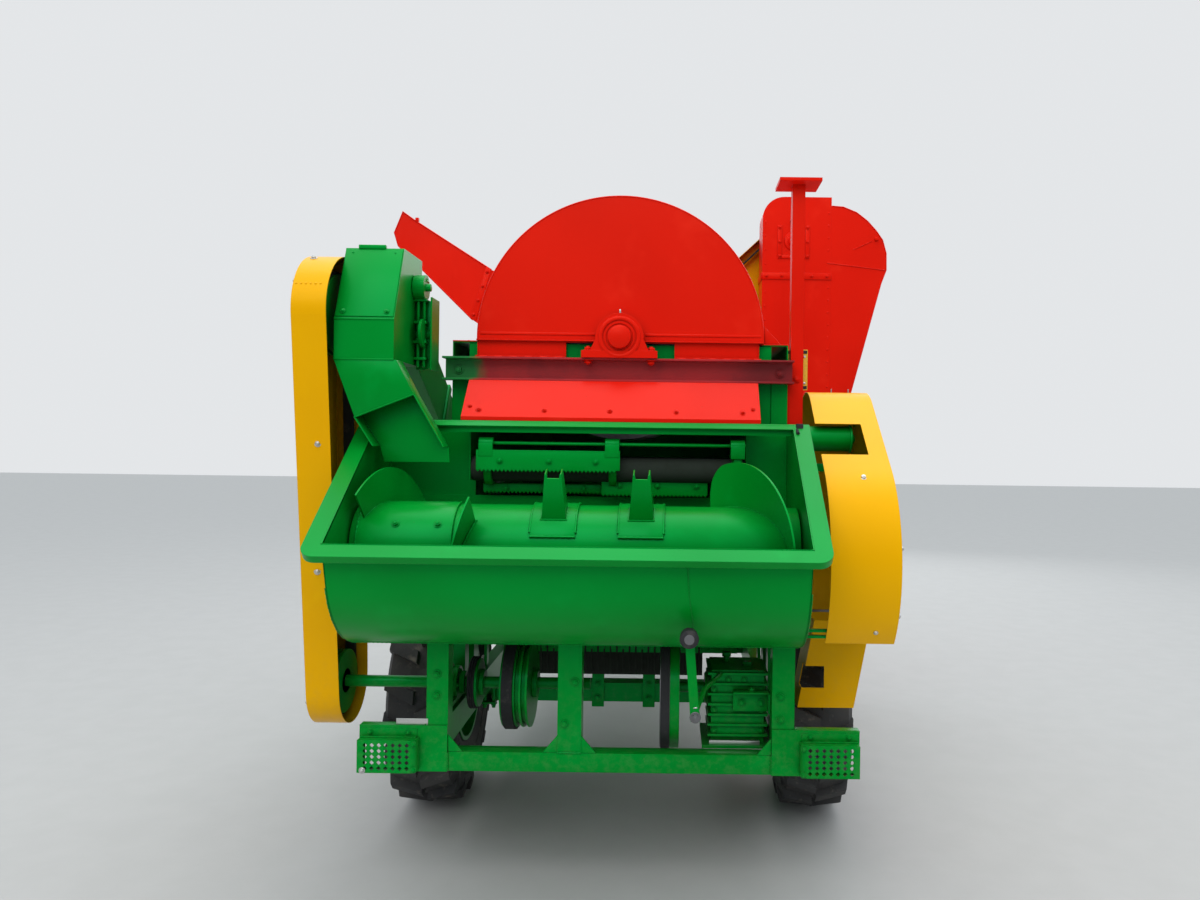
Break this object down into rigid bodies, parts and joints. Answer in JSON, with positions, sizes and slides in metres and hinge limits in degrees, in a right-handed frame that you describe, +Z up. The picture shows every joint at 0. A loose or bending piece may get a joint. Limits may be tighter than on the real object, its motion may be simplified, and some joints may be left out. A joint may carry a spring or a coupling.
{
  "type": "multicrop thresher",
  "caption": "Trailed multicrop thresher: feed hopper with auger, covered threshing drum, grain elevator, straw chute and belt guards on a two-wheeled frame.",
  "frame": {"origin": "on the ground under the middle of the whole machine's box", "axes": "+X to the machine's right when seen from its feeding end, +Y forward to the drawbar eye, +Z up"},
  "size_m": [2.815, 4.678, 3.01],
  "materials": {
    "green_paint": "gloss enamel",
    "red_paint": "gloss enamel",
    "yellow_paint": "gloss enamel",
    "marker_film": "satin film",
    "tyre_rubber": "dusty",
    "belt_rubber": "matt",
    "steel": "machined and oiled"
  },
  "bodies": {
    "chassis": {"auger_bearings": "green_paint", "axle_beam": "green_paint", "body_panels": "green_paint", "body_posts": "green_paint", "chassis_rails": "green_paint", "crank_handle": "green_paint", "cross_channel": "red_paint", "cross_members": "green_paint", "drawbar": "green_paint", "drive_belts": "belt_rubber", "drum_bearings": "red_paint", "drum_cover": "red_paint", "drum_end_plate": "red_paint", "drum_trough": "green_paint", "elevator_guard": "yellow_paint", "fan_housing": "green_paint", "feed_apron": "red_paint", "feeder_housing": "green_paint", "feeder_slats": "green_paint", "front_guard": "yellow_paint", "gearbox": "green_paint", "grain_elevator": "red_paint", "grain_spout": "red_paint", "head_pulleys": "green_paint", "hitch_eye": "steel", "hopper": "green_paint", "input_bearings": "green_paint", "jack_sleeve": "green_paint", "lamp_guards": "green_paint", "lay_bearings": "green_paint", "left_guard": "yellow_paint", "marker_pole": "red_paint", "rear_bar": "green_paint", "rear_posts": "green_paint", "return_chute": "green_paint", "return_drive": "green_paint", "return_elevator": "green_paint", "right_guard": "yellow_paint", "shaker_drive": "green_paint", "side_marker": "marker_film", "sieve_box": "green_paint", "straw_chute": "red_paint", "top_sills": "green_paint"},
    "wheel_right": {"tyre_right": "tyre_rubber", "rim_right": "green_paint", "hub_right": "green_paint"},
    "wheel_left": {"tyre_left": "tyre_rubber", "rim_left": "green_paint", "hub_left": "green_paint"},
    "auger": {"feed_auger": "green_paint"},
    "rear_shaft": {"lay_shaft": "green_paint"},
    "drum": {"drum_rotor": "steel"},
    "input": {"input_shaft": "steel"},
    "jack": {"jack_leg": "green_paint"},
    "gear_input": {"gearbox_pulley": "steel"}
  },
  "joints": [
    {"name": "wheel_right_spin", "type": "hinge", "parent": "chassis", "child": "wheel_right", "pos_m": [0.735, -1.019, 0.46], "axis": [1, 0, 0], "continuous": true},
    {"name": "wheel_left_spin", "type": "hinge", "parent": "chassis", "child": "wheel_left", "pos_m": [-0.84, -1.019, 0.46], "axis": [1, 0, 0], "continuous": true},
    {"name": "auger_spin", "type": "hinge", "parent": "chassis", "child": "auger", "pos_m": [-0.0525, -1.959, 1.19], "axis": [1, 0, 0], "continuous": true},
    {"name": "rear_shaft_spin", "type": "hinge", "parent": "chassis", "child": "rear_shaft", "pos_m": [-0.5525, -1.689, 0.667], "axis": [1, 0, 0], "continuous": true},
    {"name": "drum_spin", "type": "hinge", "parent": "chassis", "child": "drum", "pos_m": [-0.0525, -0.619, 1.92], "axis": [0, 1, 0], "continuous": true},
    {"name": "input_spin", "type": "hinge", "parent": "chassis", "child": "input", "pos_m": [-0.0525, 0.781, 0.88], "axis": [0, 1, 0], "continuous": true},
    {"name": "gear_input_spin", "type": "hinge", "parent": "chassis", "child": "gear_input", "pos_m": [0.1475, -1.719, 0.668], "axis": [1, 0, 0], "continuous": true},
    {"name": "jack_slide", "type": "slide", "parent": "chassis", "child": "jack", "axis": [0, 0, 1], "range_m": [0, 0.28]}
  ]
}
